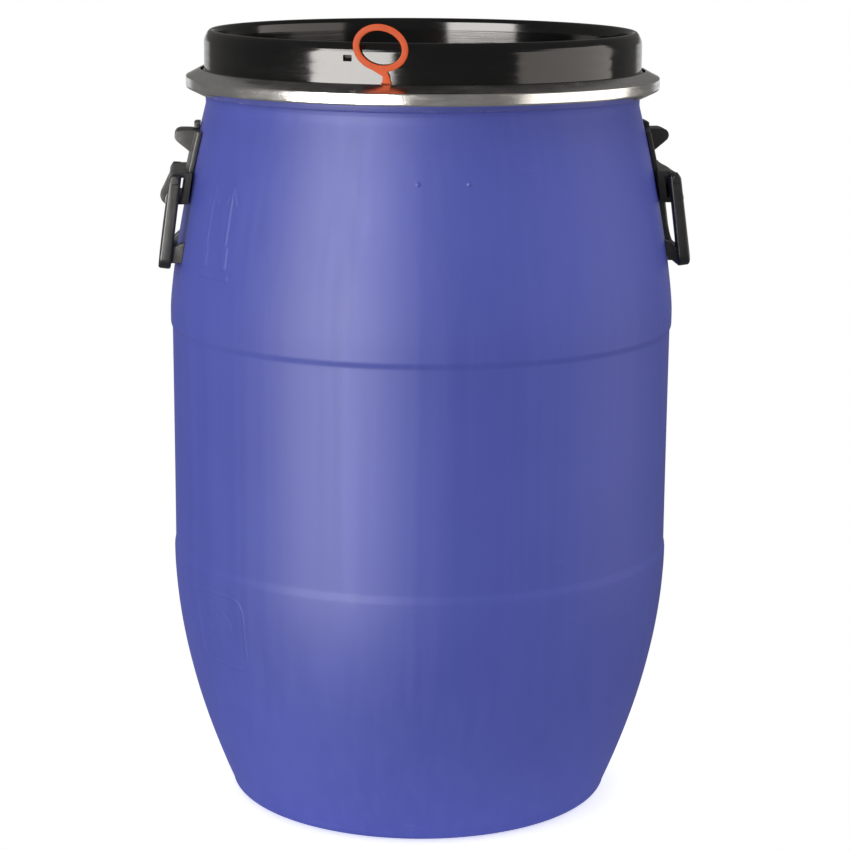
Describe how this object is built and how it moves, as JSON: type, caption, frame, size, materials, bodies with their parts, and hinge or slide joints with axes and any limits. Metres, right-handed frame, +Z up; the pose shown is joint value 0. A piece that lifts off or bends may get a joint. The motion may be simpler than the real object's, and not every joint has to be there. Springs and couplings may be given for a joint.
{
  "type": "open head drum",
  "caption": "Plastic open head drum with a recessed lid, a split clamp ring closed by an over-centre lever, two hinged bail handles and a pull-ring tamper seal.",
  "frame": {"origin": "centre of the drum's base, on the floor plane", "axes": "+Z up along the drum's axis, -Y towards the drum's front, the two handles on -X and +X, the ring's closing lever on +Y"},
  "size_m": [0.4216, 0.4036, 0.6356],
  "materials": {
    "drum_body": "satin moulded polyethylene, blue",
    "lid": "glossy black moulded plastic",
    "lid_gasket": "black foam rubber",
    "clamp_ring": "bright galvanised sheet steel",
    "ring_lever_lug": "galvanised steel",
    "ring_catch": "galvanised steel",
    "closing_lever": "bright galvanised sheet steel",
    "lever_pin": "bare steel rivet",
    "tension_bow": "galvanised wire",
    "tamper_seal": "orange-red moulded plastic",
    "handle_bracket_left": "satin black moulded plastic",
    "handle_bracket_right": "satin black moulded plastic",
    "handle_clip_left": "satin black moulded plastic",
    "handle_clip_right": "satin black moulded plastic",
    "handle_bail_left": "satin black moulded plastic",
    "handle_bail_right": "satin black moulded plastic",
    "bail_pin_left_front": "satin black moulded plastic",
    "bail_pin_left_back": "satin black moulded plastic",
    "bail_pin_right_front": "satin black moulded plastic",
    "bail_pin_right_back": "satin black moulded plastic"
  },
  "bodies": {
    "drum": {"drum_body": "drum_body", "handle_bracket_left": "handle_bracket_left", "handle_bracket_right": "handle_bracket_right", "handle_clip_left": "handle_clip_left", "handle_clip_right": "handle_clip_right", "bail_pin_left_front": "bail_pin_left_front", "bail_pin_left_back": "bail_pin_left_back", "bail_pin_right_front": "bail_pin_right_front", "bail_pin_right_back": "bail_pin_right_back"},
    "bail_left": {"handle_bail_left": "handle_bail_left"},
    "bail_right": {"handle_bail_right": "handle_bail_right"},
    "closure": {"lid": "lid", "lid_gasket": "lid_gasket", "clamp_ring": "clamp_ring", "ring_lever_lug": "ring_lever_lug", "ring_catch": "ring_catch", "lever_pin": "lever_pin", "tamper_seal": "tamper_seal"},
    "lever": {"closing_lever": "closing_lever"},
    "bow": {"tension_bow": "tension_bow"}
  },
  "joints": [
    {"name": "bail_left_hinge", "type": "hinge", "parent": "drum", "child": "bail_left", "pos_m": [-0.1968, 0, 0.5085], "axis": [0, 1, 0], "range_deg": [0, 170]},
    {"name": "bail_right_hinge", "type": "hinge", "parent": "drum", "child": "bail_right", "pos_m": [0.1968, 0, 0.5085], "axis": [0, -1, 0], "range_deg": [0, 170]},
    {"name": "lid_lift", "type": "slide", "parent": "drum", "child": "closure", "axis": [0, 0, 1], "range_m": [0, 0.16], "deforming": ["clamp_ring"]},
    {"name": "lever_hinge", "type": "hinge", "parent": "closure", "child": "lever", "pos_m": [0.0101, 0.19274, 0.5825], "axis": [0, 0, 1], "range_deg": [0, 160]},
    {"name": "bow_hinge", "type": "hinge", "parent": "lever", "child": "bow", "pos_m": [0.03149, 0.18818, 0.5825], "axis": [0, 0, 1], "range_deg": [-160, 0]}
  ],
  "couplings": [
    {"joint": "bow_hinge", "follows": "lever_hinge", "ratio": -1}
  ]
}
